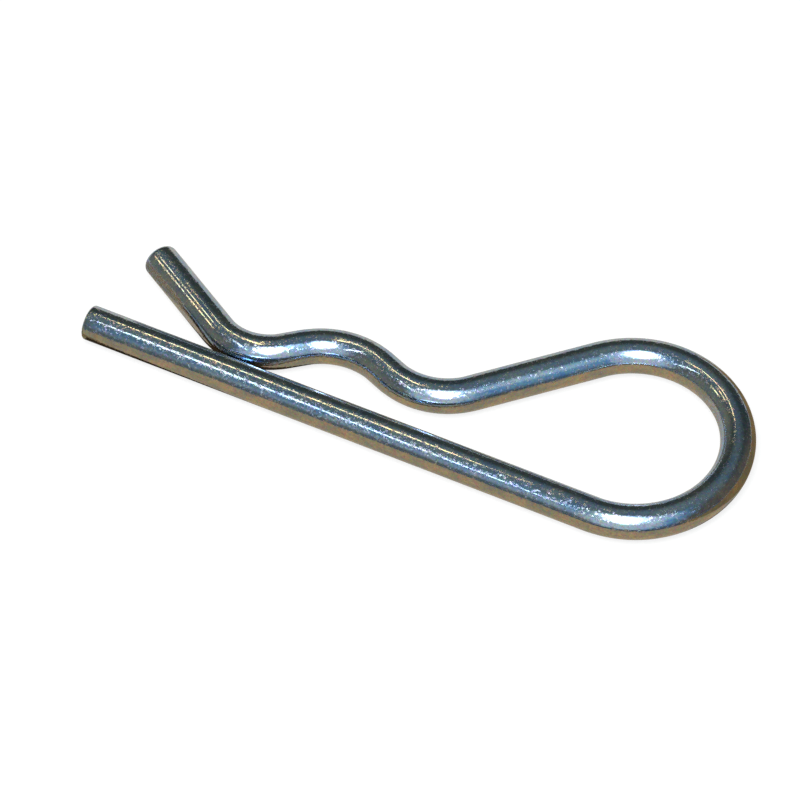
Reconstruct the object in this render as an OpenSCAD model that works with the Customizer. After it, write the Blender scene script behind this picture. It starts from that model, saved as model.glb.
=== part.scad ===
// Hitch R clip: one length of round spring wire, bent in one plane and lying flat.
// The straight leg goes through a cross hole in a shaft.
// The sprung arm closes over the outside of that shaft.
// The wire is followed from the loop to the tail: loop, arm, dip, seat, pinch, tail.

/* [Wire] */
// Diameter of the round spring wire
wire_d = 4; // [3.5:0.1:4.5]
// Radius that the wire loses where bending has stretched it
bend_thinning = 0.02; // [0.01:0.01:0.05]
// Radius on the rim of the leg's cropped end
leg_end_round = 0.3; // [0.2:0.1:1]
// Radius on the rim of the tail's cropped end
tail_end_round = 0.6; // [0.2:0.1:1]

/* [Leg and loop] */
// Length of the straight leg, from its free end to the start of the loop
leg_l = 61.5; // [56:0.5:70]
// Clear diameter inside the loop
eye_d = 19; // [17:0.5:21]
// Slope of the sprung arm towards the leg, where it leaves the loop
arm_slope = 44; // [40:0.5:47]

/* [Shaft seat] */
// Diameter of the shaft that the seat closes over, centred on the leg
seat_d = 14; // [13:0.5:15]
// Slope of the wire on the loop side of the seat
rise_slope = 22.5; // [18:0.5:26]
// Slope of the wire on the open side of the seat
fall_slope = 38; // [34:0.5:40]

/* [Dip and pinch] */
// Centreline radius of the dip between the arm and the seat
dip_r = 8.5; // [7:0.5:10]
// Straight wire between the dip and the seat
rise_l = 1.6; // [1:0.1:3]
// Centreline radius of the pinch, where the wire comes nearest to the leg
pinch_r = 7; // [6:0.5:8]
// Gap left between the pinch and the leg
pinch_gap = 0.2; // [0.1:0.05:0.5]

/* [Tail] */
// Straight length of the tail that leads the shaft in
tail_l = 12.4; // [9:0.2:14]
// Slope of the tail away from the leg
tail_slope = 31; // [26:0.5:35]

/* [Hidden] */
wire_r = wire_d / 2;
bend_wire_r = wire_r - bend_thinning;
loop_r = (eye_d + wire_d) / 2;
seat_r = (seat_d + wire_d) / 2;
overall_l = leg_l + loop_r + bend_wire_r;
// Heights of the centreline above the leg's axis, at the lowest points of the pinch and the dip
pinch_h = wire_d + pinch_gap;
dip_h = seat_r * cos(rise_slope) - rise_l * sin(rise_slope) - dip_r * (1 - cos(rise_slope));
// Straight lengths that bring the bends to those heights
fall_l = (seat_r * cos(fall_slope) - pinch_r * (1 - cos(fall_slope)) - pinch_h) / sin(fall_slope);
arm_l = (loop_r * (1 + cos(arm_slope)) - dip_r * (1 - cos(arm_slope)) - dip_h) / sin(arm_slope);
// Length by which each bend laps into the straights beside it
lap = 0.2;
round_fn = 96;

// Straight wire along +X, with the next piece set at its far end
module run(length) {
  rotate([0, 90, 0])
    cylinder(r = wire_r, h = length, $fn = round_fn);
  translate([length, 0, 0])
    children();
}

// Straight wire along +X that ends in a cropped end with a rounded rim
module cropped(length, rim_r) {
  rotate([0, 90, 0])
    rotate_extrude($fn = round_fn) {
      square([wire_r, length - rim_r]);
      square([wire_r - rim_r, length]);
      translate([wire_r - rim_r, length - rim_r])
        circle(r = rim_r, $fn = round_fn);
    }
}

// Bent wire that starts along +X and turns to its left (side 1) or its right (side -1),
// with the next piece set at its far end and turned to follow on
module bend(radius, angle, side) {
  lap_angle = asin(lap / radius);
  translate([0, side * radius, 0]) {
    rotate(-side * (90 + lap_angle))
      rotate_extrude(angle = side * (angle + 2 * lap_angle), $fn = round_fn)
        translate([radius, 0])
          circle(r = bend_wire_r, $fn = round_fn);
    rotate(side * angle)
      translate([0, -side * radius, 0])
        children();
  }
}

// The whole clip: the leg runs along +X to the loop.
// The origin is on the ground, under the middle of both.
module r_clip() {
  left = 1;
  right = -1;
  color("lightsteelblue")
    translate([leg_l - overall_l / 2, -loop_r, wire_r]) {
      rotate(180)
        cropped(leg_l, leg_end_round);
      bend(loop_r, 180 + arm_slope, left)
        run(arm_l)
          bend(dip_r, arm_slope + rise_slope, right)
            run(rise_l)
              bend(seat_r, rise_slope + fall_slope, left)
                run(fall_l)
                  bend(pinch_r, fall_slope + tail_slope, right)
                    cropped(tail_l, tail_end_round);
    }
}

r_clip();
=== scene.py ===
import math
import bpy
import bmesh
from mathutils import Matrix, Vector


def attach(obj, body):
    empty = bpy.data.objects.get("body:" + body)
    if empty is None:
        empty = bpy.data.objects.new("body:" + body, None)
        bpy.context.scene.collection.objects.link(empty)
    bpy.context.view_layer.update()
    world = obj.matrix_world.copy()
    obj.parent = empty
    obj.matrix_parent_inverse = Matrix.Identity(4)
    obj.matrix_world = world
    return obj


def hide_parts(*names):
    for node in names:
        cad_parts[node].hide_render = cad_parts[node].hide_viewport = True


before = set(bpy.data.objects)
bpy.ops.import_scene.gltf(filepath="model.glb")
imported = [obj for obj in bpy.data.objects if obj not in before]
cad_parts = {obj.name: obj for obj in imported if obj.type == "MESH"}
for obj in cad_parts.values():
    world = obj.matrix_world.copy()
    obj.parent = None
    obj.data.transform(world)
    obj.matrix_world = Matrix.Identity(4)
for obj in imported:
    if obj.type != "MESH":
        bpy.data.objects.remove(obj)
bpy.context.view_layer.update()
mm = 0.001
skyward = Vector((0, 0, 1))
print("frame loaded, nodes:", sorted(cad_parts))


# shared helpers

def hexColour(code):  # sRGB hex to the linear colour that nodes take
    steps = [int(code[i:i + 2], 16) / 255 for i in (1, 3, 5)]
    return [s / 12.92 if s <= 0.04045 else ((s + 0.055) / 1.055) ** 2.4 for s in steps] + [1.0]


def addNode(tree, kind, settings=None, links=None):  # a node with its settings, and its inputs linked
    node = tree.nodes.new(kind)
    for key, value in (settings or {}).items():
        if isinstance(key, str) and key in node.bl_rna.properties:
            setattr(node, key, value)
        else:
            node.inputs[key].default_value = value
    for key, source in (links or {}).items():
        tree.links.new(source, node.inputs[key])
    return node


def newMaterial(name):
    material = bpy.data.materials.new(name)
    material.use_nodes = True
    material.node_tree.nodes.clear()
    return material, material.node_tree


# camera, at the angle of the photograph

view = {
    "azimuth": 25.68, "elevation": 52.40,  # degrees
    "distance": 752.7, "lens": 306.5, "sensor": 36.0, "nearest": 10.0,  # mm
    "target": (-1.445, -6.387, 2.0),  # mm, what the middle of the picture looks at
}


def setDirection(azimuth, elevation):  # from the clip outwards, azimuth measured from -Y to +X
    a, e = math.radians(azimuth), math.radians(elevation)
    return Vector((math.sin(a) * math.cos(e), -math.cos(a) * math.cos(e), math.sin(e)))


target = Vector(view["target"]) * mm
toward = setDirection(view["azimuth"], 0)  # level, from the clip to the camera
right = Vector((-toward.y, toward.x, 0))


def makeCamera():
    away = setDirection(view["azimuth"], view["elevation"])
    data = bpy.data.cameras.new("camera")
    data.lens = view["lens"]
    data.sensor_width = view["sensor"]
    data.clip_start = view["nearest"] * mm
    camera = bpy.data.objects.new("camera", data)
    camera.location = target + away * view["distance"] * mm
    camera.rotation_euler = (-away).to_track_quat("-Z", "Y").to_euler()
    bpy.context.scene.collection.objects.link(camera)
    bpy.context.scene.camera = camera


makeCamera()
print("camera set")


# the wire, swept along the same straights and bends as the frame

wire = {
    "dia": 4.0, "bendThinning": 0.02,  # mm, and how much radius the bends lose
    "legRim": 0.3, "tailRim": 0.6,  # mm, rounds on the rims of the cropped ends
    "leg": 61.5, "eye": 19.0, "armSlope": 44.0,
    "seat": 14.0, "riseSlope": 22.5, "fallSlope": 38.0,
    "dipRadius": 8.5, "rise": 1.6, "pinchRadius": 7.0, "pinchGap": 0.2,
    "tail": 12.4, "tailSlope": 31.0,
    "sides": 80, "bendStep": 2.0, "straightStep": 1.5,  # facets round the wire, degrees and mm between rings
    "easeRings": 3,  # rings over which a bend thins
    "cropDent": 0.10,  # mm that the sheared end faces dip below their rims
    "dishRings": (0.2, 0.4, 0.6, 0.8, 0.92), "rimStep": 10,  # shares of the face's radius, degrees between rings
    "ringGap": 0.05,  # mm that the plain wire's rings keep from the rims
    "faceRings": 9,  # rings of each end, from its middle out, on the cropped face and the start of its rim
    "mapRows": 4, "mapGap": 0.7,  # rows that the unrolled wire is cut into on its map, and mm between them
}


def wireRuns():  # (straight length, 0) or (bend radius, turn in degrees), from the leg's free end to the tail's
    w = wire
    loopR, seatR = (w["eye"] + w["dia"]) / 2, (w["seat"] + w["dia"]) / 2
    dipR, pinchR = w["dipRadius"], w["pinchRadius"]
    arm, rise, fall = (math.radians(w[k]) for k in ("armSlope", "riseSlope", "fallSlope"))
    dipHeight = seatR * math.cos(rise) - w["rise"] * math.sin(rise) - dipR * (1 - math.cos(rise))
    pinchHeight = w["dia"] + w["pinchGap"]
    armDrop = loopR * (1 + math.cos(arm)) - dipR * (1 - math.cos(arm)) - dipHeight
    fallDrop = seatR * math.cos(fall) - pinchR * (1 - math.cos(fall)) - pinchHeight
    return [
        (w["leg"], 0), (loopR, 180 + w["armSlope"]), (armDrop / math.sin(arm), 0),
        (dipR, -w["armSlope"] - w["riseSlope"]), (w["rise"], 0),
        (seatR, w["riseSlope"] + w["fallSlope"]), (fallDrop / math.sin(fall), 0),
        (pinchR, -w["fallSlope"] - w["tailSlope"]), (w["tail"], 0),
    ]


def wireStations():  # rings along the wire: place, heading, distance along, and wire radius
    w = wire
    r, loopR = w["dia"] / 2, (w["eye"] + w["dia"]) / 2
    x, y = -(w["leg"] + loopR + r - w["bendThinning"]) / 2, -loopR
    heading, along = 0.0, 0.0
    stations = [(x, y, heading, along, r)]
    for size, turn in wireRuns():
        if turn == 0:
            steps = max(2, round(size / w["straightStep"]))
            for i in range(1, steps + 1):
                d = size * i / steps
                stations.append((x + d * math.cos(heading), y + d * math.sin(heading), heading, along + d, r))
        else:
            side, sweep = (1 if turn > 0 else -1), math.radians(abs(turn))
            cx, cy = x - side * size * math.sin(heading), y + side * size * math.cos(heading)
            steps = max(4, round(abs(turn) / w["bendStep"]))
            for i in range(1, steps + 1):
                t = sweep * i / steps
                h = heading + side * t
                thin = w["bendThinning"] * min(1.0, min(i, steps - i) / w["easeRings"])
                bx, by = cx + side * size * math.sin(h), cy - side * size * math.cos(h)
                stations.append((bx, by, h, along + size * t, r - thin))
        x, y, heading, along = stations[-1][:4]
    return stations


def croppedEnds(stations):  # rings for the rounded rims and the dished faces, in place of the square ends
    w = wire
    total, ends = stations[-1][3], []
    for rim, (x, y, heading, along, r), way in ((w["legRim"], stations[0], 1), (w["tailRim"], stations[-1], -1)):
        face = r - rim
        profile = [(w["cropDent"] * (1 - s ** 3), face * s) for s in w["dishRings"]]  # depth behind the end, radius
        for a in range(0, 91, w["rimStep"]):
            turn = math.radians(a)
            profile.append((rim - rim * math.cos(turn), face + rim * math.sin(turn)))
        dx, dy = way * math.cos(heading), way * math.sin(heading)
        ends.append([(x + d * dx, y + d * dy, heading, along + way * d, q) for d, q in profile])
    low, high = w["legRim"] + w["ringGap"], total - w["tailRim"] - w["ringGap"]
    middle = [s for s in stations if low < s[3] < high]
    return ends[0] + middle + ends[1][::-1], total


def unrollMap(bm, quads, spot, rings, total):  # the wire's side lies in rows, the two end faces are discs beside them
    w = wire
    uv = bm.loops.layers.uv.new("OFBake")
    sides, faceRings, gap, rows = w["sides"], w["faceRings"], w["mapGap"], w["mapRows"]
    girth, length, last = math.pi * w["dia"], total / rows, len(rings) - 1
    side = rows * (girth + gap)  # of the square map, mm
    left, discMiddle = 1.5 * gap, length + w["dia"] / 2 + 4 * gap  # mm on the map
    for face, n, i in quads:
        onEnd = n < faceRings - 1 or last - n < faceRings
        row = int((rings[n][3] + rings[min(n + 1, last)][3]) / 2 / length)
        for corner in face.loops:
            ring, step = spot[corner.vert]
            if onEnd:
                a, spread = (0, 0) if step is None else (2 * math.pi * step / sides, rings[ring][4])
                u = discMiddle + spread * math.cos(a)
                v = (w["dia"] + gap) * (1 if n < faceRings else 3) + spread * math.sin(a)
            else:
                turn = sides if i == sides - 1 and step == 0 else step
                u = left + rings[ring][3] - row * length
                v = gap / 2 + row * (girth + gap) + girth * turn / sides
            corner[uv].uv = (u / side, v / side)


def makeWire(material):
    w = wire
    r, sides = w["dia"] / 2, w["sides"]
    rings, total = croppedEnds(wireStations())
    bm = bmesh.new()
    place = bm.verts.layers.float_vector.new("straightWire")  # mm, where a point was while the wire was straight
    cropped = bm.verts.layers.float.new("croppedFace")  # 1 on the two end faces
    loops, spot, last = [], {}, len(rings) - 1
    for n, (x, y, heading, along, q) in enumerate(rings):
        loop = []
        for i in range(sides):
            a = 2 * math.pi * i / sides
            out, lift = q * math.cos(a), q * math.sin(a)
            px, py = x - out * math.sin(heading), y + out * math.cos(heading)
            v = bm.verts.new((px * mm, py * mm, (r + lift) * mm))
            v[place] = (along, out, lift)
            v[cropped] = 1.0 if min(n, last - n) < w["faceRings"] else 0.0
            spot[v] = (n, i)
            loop.append(v)
        loops.append(loop)
    quads = []
    for n in range(last):
        for i in range(sides):
            j = (i + 1) % sides
            quads.append((bm.faces.new((loops[n][i], loops[n][j], loops[n + 1][j], loops[n + 1][i])), n, i))
    for n in (0, last):  # small closing discs in the middle of the end faces
        hub = bm.verts.new((rings[n][0] * mm, rings[n][1] * mm, r * mm))
        hub[place], hub[cropped] = (rings[n][3], 0, 0), 1.0
        spot[hub] = (n, None)
        for i in range(sides):
            quads.append((bm.faces.new((loops[n][i], loops[n][(i + 1) % sides], hub)), n, i))
    bmesh.ops.recalc_face_normals(bm, faces=bm.faces)
    unrollMap(bm, quads, spot, rings, total)
    for f in bm.faces:
        f.smooth = True
    mesh = bpy.data.meshes.new("springWire")
    bm.to_mesh(mesh)
    bm.free()
    piece = bpy.data.objects.new("springWire", mesh)
    bpy.context.scene.collection.objects.link(piece)
    mesh.materials.append(material)
    print("wire swept:", len(rings), "rings,", round(total, 1), "mm long,", len(mesh.polygons), "faces")
    return piece


# bright zinc plate on drawn spring wire, with a thin blue passivation
# plated steel is a cool near-white metal: the eye reads fine crystal sparkle, faint blue, violet and straw
# clouds in the clear film, and soft lines that the drawing die left along the wire

zinc = {
    "plate": "#DDDFE0",
    "blueFilm": "#ABC6E4", "violetFilm": "#BFB6DA", "strawFilm": "#DDD5B4", "tealFilm": "#B4D3D2",
    "blue": (0.38, 0.62, 0.9), "violet": (0.52, 0.68, 0.8),  # noise where a film starts and is full, and its most
    "straw": (0.55, 0.70, 0.7), "teal": (0.52, 0.68, 0.8),
    "cloudMm": 1.5, "mottleMm": 0.42, "clumpMm": 0.30,  # film clouds, film mottle, crystals etched alike
    "drawnOut": 0.5,  # clouds and clumps are twice as long along the wire
    "crystalMm": 0.18,  # really a few hundredths of a mm, drawn coarser so that it shows
    "crystalTint": 0.36,  # how far each crystal takes a tint of its own
    "clumpRange": (0.3, 0.7), "clumpPart": 0.5,  # noise spread over the clumps, and how far they decide on etching
    "etchedRange": (0.45, 0.825),  # where a crystal begins to be etched, and where it is fully
    "smooth": 0.078, "etched": 0.28,  # roughness of both kinds of crystal
    "smoothTilt": 0.011, "etchedTilt": 0.16,  # how far crystals lean
    "lineMm": 0.10, "lineLengthMm": 14.0, "lineDepthMm": 0.0003,  # die lines, drawn about three times coarser than real
    "tornDark": "#6E7173", "tornLight": "#C2C4C4", "torn": 0.36,  # cropped faces: colours and roughness
    "shearMm": 0.12, "shearLengthMm": 1.6, "shearDepthMm": 0.03,
}


def zincPlate():
    z = zinc
    material, tree = newMaterial("brightZincOnSpringWire")
    where = addNode(tree, "ShaderNodeAttribute", {"attribute_name": "straightWire"}).outputs["Vector"]
    flow = addNode(tree, "ShaderNodeVectorMath", {"operation": "MULTIPLY", 1: (z["drawnOut"], 1, 1)}, {0: where})
    cloud = addNode(tree, "ShaderNodeTexNoise", {"Scale": 1 / z["cloudMm"], "Detail": 3.0, "Roughness": 0.6},
                    {"Vector": flow.outputs[0]})
    mottle = addNode(tree, "ShaderNodeTexNoise", {"Scale": 1 / z["mottleMm"], "Detail": 3.0, "Roughness": 0.7},
                     {"Vector": where})
    hue = addNode(tree, "ShaderNodeSeparateColor", {}, {"Color": mottle.outputs["Color"]})
    crystal = addNode(tree, "ShaderNodeTexVoronoi", {"Scale": 1 / z["crystalMm"]}, {"Vector": where})
    fleck = addNode(tree, "ShaderNodeSeparateColor", {}, {"Color": crystal.outputs["Color"]})
    # film colours, one laid over the other
    noises = {"blue": cloud.outputs["Fac"], "violet": hue.outputs["Red"],
              "straw": hue.outputs["Green"], "teal": hue.outputs["Blue"]}
    film = None
    for name, noise in noises.items():
        low, high, most = z[name]
        share = addNode(tree, "ShaderNodeMapRange", {"From Min": low, "From Max": high, "To Max": most},
                        {"Value": noise})
        film = addNode(tree, "ShaderNodeMix",
                       {"data_type": "RGBA", 6: hexColour(z["plate"]), 7: hexColour(z[name + "Film"])},
                       {0: share.outputs[0], 6: film.outputs[2]} if film else {0: share.outputs[0]})
    spare = 1 - z["crystalTint"] / 2  # keeps the mean of the tints at 1
    tint = addNode(tree, "ShaderNodeVectorMath",
                   {"operation": "MULTIPLY_ADD", 1: (z["crystalTint"],) * 3, 2: (spare,) * 3},
                   {0: crystal.outputs["Color"]})
    colour = addNode(tree, "ShaderNodeVectorMath", {"operation": "MULTIPLY"},
                     {0: film.outputs[2], 1: tint.outputs[0]})
    # some crystals are etched and scatter the light, the rest are smooth
    clump = addNode(tree, "ShaderNodeTexNoise", {"Scale": 1 / z["clumpMm"], "Detail": 2.0},
                    {"Vector": flow.outputs[0]})
    low, high = z["clumpRange"]
    spread = addNode(tree, "ShaderNodeMapRange", {"From Min": low, "From Max": high}, {"Value": clump.outputs["Fac"]})
    patchy = addNode(tree, "ShaderNodeMix", {"data_type": "FLOAT", 0: z["clumpPart"]},
                     {2: fleck.outputs["Red"], 3: spread.outputs[0]})
    low, high = z["etchedRange"]
    etched = addNode(tree, "ShaderNodeMapRange",
                     {"interpolation_type": "SMOOTHSTEP", "From Min": low, "From Max": high},
                     {"Value": patchy.outputs[0]})
    rough = addNode(tree, "ShaderNodeMapRange", {"To Min": z["smooth"], "To Max": z["etched"]},
                    {"Value": etched.outputs[0]})
    # the cropped faces are greyer and torn in lines by the shear
    face = addNode(tree, "ShaderNodeAttribute", {"attribute_name": "croppedFace"}).outputs["Fac"]
    across = addNode(tree, "ShaderNodeVectorMath",
                     {"operation": "MULTIPLY", 1: (1, 1, z["shearMm"] / z["shearLengthMm"])}, {0: where})
    torn = addNode(tree, "ShaderNodeTexNoise", {"Scale": 1 / z["shearMm"], "Detail": 4.0, "Roughness": 0.65},
                   {"Vector": across.outputs[0]})
    grey = addNode(tree, "ShaderNodeMix",
                   {"data_type": "RGBA", 6: hexColour(z["tornDark"]), 7: hexColour(z["tornLight"])},
                   {0: torn.outputs["Fac"]})
    colour = addNode(tree, "ShaderNodeMix", {"data_type": "RGBA"},
                     {0: face, 6: colour.outputs[0], 7: grey.outputs[2]})
    rough = addNode(tree, "ShaderNodeMix", {"data_type": "FLOAT", 3: z["torn"]}, {0: face, 2: rough.outputs[0]})
    # each crystal is tilted its own way, and the etched ones lean furthest
    tilt = addNode(tree, "ShaderNodeMapRange", {"To Min": z["smoothTilt"], "To Max": z["etchedTilt"]},
                   {"Value": etched.outputs[0]})
    chance = addNode(tree, "ShaderNodeTexWhiteNoise", {"noise_dimensions": "3D"},
                     {"Vector": crystal.outputs["Position"]})
    lean = addNode(tree, "ShaderNodeVectorMath", {"operation": "SUBTRACT", 1: (0.5, 0.5, 0.5)},
                   {0: chance.outputs["Color"]})
    lean = addNode(tree, "ShaderNodeVectorMath", {"operation": "SCALE"}, {0: lean.outputs[0], "Scale": tilt.outputs[0]})
    facing = addNode(tree, "ShaderNodeNewGeometry").outputs["Normal"]
    tilted = addNode(tree, "ShaderNodeVectorMath", {"operation": "ADD"}, {0: facing, 1: lean.outputs[0]})
    tilted = addNode(tree, "ShaderNodeVectorMath", {"operation": "NORMALIZE"}, {0: tilted.outputs[0]})
    # die lines, and the shear marks on the cropped faces
    drawn = addNode(tree, "ShaderNodeVectorMath",
                    {"operation": "MULTIPLY", 1: (z["lineMm"] / z["lineLengthMm"], 1, 1)}, {0: where})
    lines = addNode(tree, "ShaderNodeTexNoise", {"Scale": 1 / z["lineMm"], "Detail": 2.0},
                    {"Vector": drawn.outputs[0]})
    relief = addNode(tree, "ShaderNodeBump", {"Strength": 1.0, "Distance": z["lineDepthMm"] * mm},
                     {"Height": lines.outputs["Fac"], "Normal": tilted.outputs[0]})
    relief = addNode(tree, "ShaderNodeBump", {"Distance": z["shearDepthMm"] * mm},
                     {"Strength": face, "Height": torn.outputs["Fac"], "Normal": relief.outputs[0]})
    shader = addNode(tree, "ShaderNodeBsdfPrincipled", {"Metallic": 1.0},
                     {"Base Color": colour.outputs[2], "Roughness": rough.outputs[0], "Normal": relief.outputs[0]})
    addNode(tree, "ShaderNodeOutputMaterial", {}, {"Surface": shader.outputs[0]})
    return material


clip = makeWire(zincPlate())
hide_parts("r_clip")
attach(clip, "root")


# floor, and a glowing card of painted reflections that only the metal sees

def linkMesh(name, verts, faces, materials, slots=None):
    mesh = bpy.data.meshes.new(name)
    mesh.from_pydata(verts, [], faces)
    for m in materials:
        mesh.materials.append(m)
    if slots:
        mesh.polygons.foreach_set("material_index", slots)
    sheet = bpy.data.objects.new(name, mesh)
    bpy.context.scene.collection.objects.link(sheet)
    return sheet


floor = {
    "colour": "#F3F3F1", "white": 0.8,  # share that shows as plain white, the rest keeps the shadow
    "size": 20000.0, "drop": 0.2,  # mm
}


def paleFloor():  # matt white board, even and without gloss
    material, tree = newMaterial("mattWhiteBoard")
    matt = addNode(tree, "ShaderNodeBsdfDiffuse", {"Color": hexColour(floor["colour"])})
    plain = addNode(tree, "ShaderNodeEmission", {"Strength": 1.0})
    rays = addNode(tree, "ShaderNodeLightPath").outputs
    seen = addNode(tree, "ShaderNodeMath", {"operation": "ADD"}, {0: rays["Is Camera Ray"], 1: rays["Is Glossy Ray"]})
    seen = addNode(tree, "ShaderNodeMath", {"operation": "ADD", "use_clamp": True},
                   {0: seen.outputs[0], 1: rays["Is Transmission Ray"]})
    share = addNode(tree, "ShaderNodeMath", {"operation": "MULTIPLY", 1: floor["white"]}, {0: seen.outputs[0]})
    both = addNode(tree, "ShaderNodeMixShader", {}, {0: share.outputs[0], 1: matt.outputs[0], 2: plain.outputs[0]})
    addNode(tree, "ShaderNodeOutputMaterial", {}, {"Surface": both.outputs[0]})
    return material


def makeFloor():
    half, level = floor["size"] / 2 * mm, -floor["drop"] * mm
    corners = [(-half, -half, level), (half, -half, level), (half, half, level), (-half, half, level)]
    linkMesh("floor", corners, [(0, 1, 2, 3)], [paleFloor()])


# painted reflections: the card glows, and its pleats are brown away from the camera and pale towards it
card = {
    "pale": "#BCBEBB", "brown": "#B29873", "paintedShadeBrown": "#846C48", "margin": "#4E5861",
    "reach": 600.0, "turnedUp": 70.0,  # mm from the middle to its edges, and the height of the far edge
    "pleatsBehind": 50.0, "pleatsBefore": 38.0, "pleat": 0.3,  # mm, the margin before the pleats is dark
    "pleatLean": 0.85, "pleatRise": 0.4,  # shares of a pleat: where its ridge is, and how high
    "shadeLeft": -32.0, "shadeBehind": -2.0,  # mm, painted shade: the brown is darker left of one and behind the other
    "shadeRight": 34.0,  # mm, painted shade: all of the card is darker to the right of this
    "drop": 0.19,  # mm
}


def paintedReflectionSheet(name, code):  # a sheet that glows evenly, a painted reflection seen only in the metal
    material, tree = newMaterial(name)
    material.cycles.emission_sampling = "NONE"  # seen in the metal, and no lamp
    glow = addNode(tree, "ShaderNodeEmission", {"Color": hexColour(code), "Strength": 1.0})
    addNode(tree, "ShaderNodeOutputMaterial", {}, {"Surface": glow.outputs[0]})
    return material


def onlyInMetal(sheet):
    sheet.visible_camera = sheet.visible_diffuse = sheet.visible_shadow = sheet.visible_transmission = False


def makeCard():
    reach, pitch = card["reach"], card["pleat"]
    rows = [(-reach, card["turnedUp"]), (-reach, 0.0)]  # distance towards the camera, height
    for i in range(int((card["pleatsBehind"] + card["pleatsBefore"]) / pitch)):
        start = -card["pleatsBehind"] + i * pitch
        rows += [(start, 0.0), (start + card["pleatLean"] * pitch, card["pleatRise"] * pitch)]
    rows += [(card["pleatsBefore"], 0.0), (reach, 0.0)]
    columns = (-reach, card["shadeLeft"], card["shadeRight"], reach)
    verts = []
    for d, h in rows:
        for x in columns:
            spot = toward * d + right * x
            verts.append((spot.x * mm, spot.y * mm, (h - card["drop"]) * mm))
    papers = ["pale", "brown", "paintedShadeBrown", "margin"]
    faces, slots, wide = [], [], len(columns)
    for i in range(len(rows) - 1):
        brown = rows[i + 1][1] > rows[i][1]
        plain = "margin" if i == len(rows) - 2 else "brown" if brown else "pale"
        behind, pleated = rows[i][0] < card["shadeBehind"], abs(rows[i][0]) < reach
        shaded = (brown and behind, False, pleated)  # left, middle and right: where it holds, the card takes the painted shade
        for j in range(wide - 1):
            a = wide * i + j
            faces.append((a, a + 1, a + wide + 1, a + wide))
            slots.append(papers.index("paintedShadeBrown" if shaded[j] and plain != "margin" else plain))
    onlyInMetal(linkMesh("pleatedReflectionCard", verts, faces, [paintedReflectionSheet(p + "PaintedReflection", card[p]) for p in papers], slots))


# painted shade, a dark glowing strip for the wire's own shade on the card: mm to each side of its middle and where
# along the wire it widens
shade = {
    "colour": "#33281A", "half": 1.25, "drop": 0.03,
    "end": 1.9, "endReach": 24.0,  # more under the leg's free end
    "loop": 1.0, "loopAt": 77.0, "loopReach": 7.0,  # and under the near side of the loop
    "corner": 2.6, "cornerAt": 150.0, "cornerReach": 10.0,  # and between the tail and the leg, on one side
}


def makeCardShade():
    verts = []
    for x, y, heading, along, _ in wireStations():
        half = shade["half"] + shade["end"] * max(0, 1 - along / shade["endReach"])
        half += shade["loop"] * max(0, 1 - abs(along - shade["loopAt"]) / shade["loopReach"])
        corner = shade["corner"] * max(0, 1 - abs(along - shade["cornerAt"]) / shade["cornerReach"])
        for out in (-half, half + corner):
            px, py = x - out * math.sin(heading), y + out * math.cos(heading)
            verts.append((px * mm, py * mm, -shade["drop"] * mm))
    faces = [(2 * i, 2 * i + 1, 2 * i + 3, 2 * i + 2) for i in range(len(verts) // 2 - 1)]
    onlyInMetal(linkMesh("cardShade", verts, faces, [paintedReflectionSheet("paintedShadeOnCard", shade["colour"])]))


makeFloor()
makeCard()
makeCardShade()
print("floor and card laid")


# lamps: azimuth from the camera's own, elevation, distance and size in m; radiance 1 shows as white
softKey = {
    "azimuth": -12, "elevation": 66, "distance": 0.9, "size": (0.5, 0.5), "radiance": 15.0, "colour": "#FFFFFF",
}
# level tubes overhead: middle as (right, towards the camera) per unit of height, heading in degrees from right
tubes = {
    "warmTube": {"middle": (-0.171, -0.470), "heading": 84.2, "height": 0.25,
                 "size": (0.139, 0.010), "radiance": 3.8, "colour": "#FFDF9E"},
    "whiteTube": {"middle": (-0.580, 0.38), "heading": 99, "height": 0.25,
                  "size": (0.19, 0.015), "radiance": 3.4, "colour": "#EAF5FF"},
    "sideTubeNear": {"middle": (-0.58, -0.44), "heading": 66, "height": 0.7,
                     "size": (0.12, 0.06), "radiance": 2.8, "colour": "#FFDFA4"},
    "sideTubeFar": {"middle": (-1.05, -0.26), "heading": 66, "height": 0.7,
                    "size": (0.16, 0.12), "radiance": 2.8, "colour": "#FFDFA4"},
}


def aim(thing, place, across, back):  # at a place from the target, its length along across and its back to back
    across = (across - back * across.dot(back)).normalized()
    turned = Matrix((across, back.cross(across), back)).transposed()
    thing.matrix_world = Matrix.LocRotScale(target + place, turned, None)


def addLamp(name, panel):
    data = bpy.data.lights.new(name, "AREA")
    data.shape = "RECTANGLE"
    data.size, data.size_y = panel["size"]
    data.energy = panel["radiance"] * math.pi * data.size * data.size_y
    data.color = hexColour(panel["colour"])[:3]
    lamp = bpy.data.objects.new(name, data)
    lamp.visible_camera = False
    bpy.context.scene.collection.objects.link(lamp)
    return lamp


def makeLamps():
    back = setDirection(view["azimuth"] + softKey["azimuth"], softKey["elevation"])
    key = addLamp("softKey", softKey)
    aim(key, back * softKey["distance"], back.cross(skyward), back)
    key.visible_glossy = False  # it lights the floor, and the softbox gives the shine
    for name, tube in tubes.items():
        place = (right * tube["middle"][0] + toward * tube["middle"][1] + skyward) * tube["height"]
        turn = math.radians(tube["heading"])
        aim(addLamp(name, tube), place, right * math.cos(turn) + toward * math.sin(turn), skyward)


# placed like the soft key, and its peak is the radiance in its middle
softbox = {
    "azimuth": -5, "elevation": 60, "distance": 0.8, "size": (0.46, 1.04), "peak": 16.0, "colour": "#D8E9FF",
}


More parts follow.
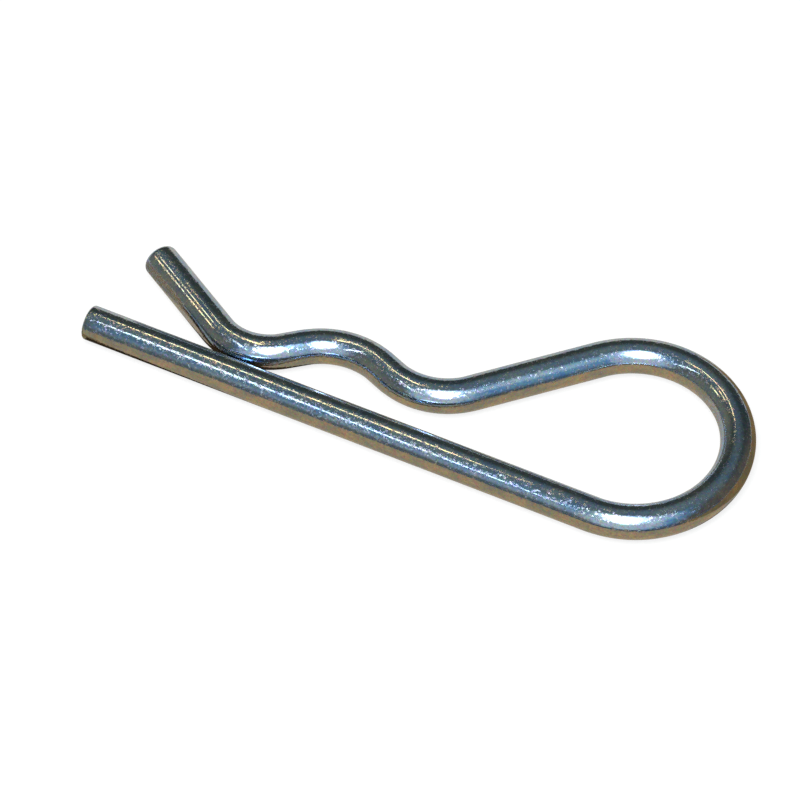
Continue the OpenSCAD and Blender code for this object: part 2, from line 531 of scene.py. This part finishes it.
def softboxCloth():  # translucent cloth over a lamp, brightest in its middle
    material, tree = newMaterial("softboxCloth")
    where = addNode(tree, "ShaderNodeTexCoord").outputs["Object"]
    wide, high = softbox["size"]
    flat = addNode(tree, "ShaderNodeVectorMath", {"operation": "MULTIPLY", 1: (2 / wide, 2 / high, 0)}, {0: where})
    fade = addNode(tree, "ShaderNodeTexGradient", {"gradient_type": "QUADRATIC_SPHERE"}, {0: flat.outputs[0]})
    level = addNode(tree, "ShaderNodeMath", {"operation": "MULTIPLY", 1: softbox["peak"]}, {0: fade.outputs["Fac"]})
    glow = addNode(tree, "ShaderNodeEmission", {"Color": hexColour(softbox["colour"])},
                   {"Strength": level.outputs[0]})
    through = addNode(tree, "ShaderNodeBsdfTransparent")  # the room shows through its dark corners
    both = addNode(tree, "ShaderNodeAddShader", {}, {0: glow.outputs[0], 1: through.outputs[0]})
    addNode(tree, "ShaderNodeOutputMaterial", {}, {"Surface": both.outputs[0]})
    return material


def makeSoftbox():
    x, y = (s / 2 for s in softbox["size"])
    back = setDirection(view["azimuth"] + softbox["azimuth"], softbox["elevation"])
    box = linkMesh("softbox", [(-x, -y, 0), (-x, y, 0), (x, y, 0), (x, -y, 0)], [(0, 1, 2, 3)], [softboxCloth()])
    aim(box, back * softbox["distance"], back.cross(skyward), back)
    box.visible_camera = box.visible_diffuse = box.visible_shadow = False


makeLamps()
makeSoftbox()
print("lamps set: soft key, softbox and", len(tubes), "tubes")


# a dim room, with a tall window behind the camera and a cool glow round it
# each part: azimuth from the camera's own, elevation, and the cosines of the angles where it fades in and is full
room = {
    "farSide": "#3D433F",
    "parts": {
        "cameraSide": ("#43505A", 0, 0, 0.05, 0.6),
        "leftSide": ("#76776B", -90, 0, 0.35, 0.95),
        "rightSide": ("#5F594F", 75, 5, 0.45, 0.9),
        "overhead": ("#66767C", 0, 90, 0.6, 0.95),
        "coolGlow": ("#6C98B7", 3, 42, 0.66, 0.92),
        "windowFoot": ("#BECCD6", -8, 28, 0.80, 0.94),
        "window": ("#C8DCE8", 4, 58, 0.86, 0.99),
    },
}


def dimRoom():
    world = bpy.data.worlds.new("dimRoom")
    world.use_nodes = True
    tree = world.node_tree
    tree.nodes.clear()
    look = addNode(tree, "ShaderNodeTexCoord").outputs["Generated"]
    tone = None
    for code, azimuth, elevation, fadeFrom, fadeTo in room["parts"].values():
        way = setDirection(view["azimuth"] + azimuth, elevation)
        lean = addNode(tree, "ShaderNodeVectorMath", {"operation": "DOT_PRODUCT", 1: way}, {0: look})
        part = addNode(tree, "ShaderNodeMapRange",
                       {"interpolation_type": "SMOOTHSTEP", "From Min": fadeFrom, "From Max": fadeTo},
                       {"Value": lean.outputs["Value"]})
        tone = addNode(tree, "ShaderNodeMix",
                       {"data_type": "RGBA", 6: hexColour(room["farSide"]), 7: hexColour(code)},
                       {0: part.outputs[0], 6: tone.outputs[2]} if tone else {0: part.outputs[0]})
    glow = addNode(tree, "ShaderNodeBackground", {"Strength": 1.0}, {"Color": tone.outputs[2]})
    addNode(tree, "ShaderNodeOutputWorld", {}, {"Surface": glow.outputs[0]})
    bpy.context.scene.world = world
    print("room lit:", len(room["parts"]), "parts")


dimRoom()
bpy.context.scene.view_settings.view_transform = "Standard"
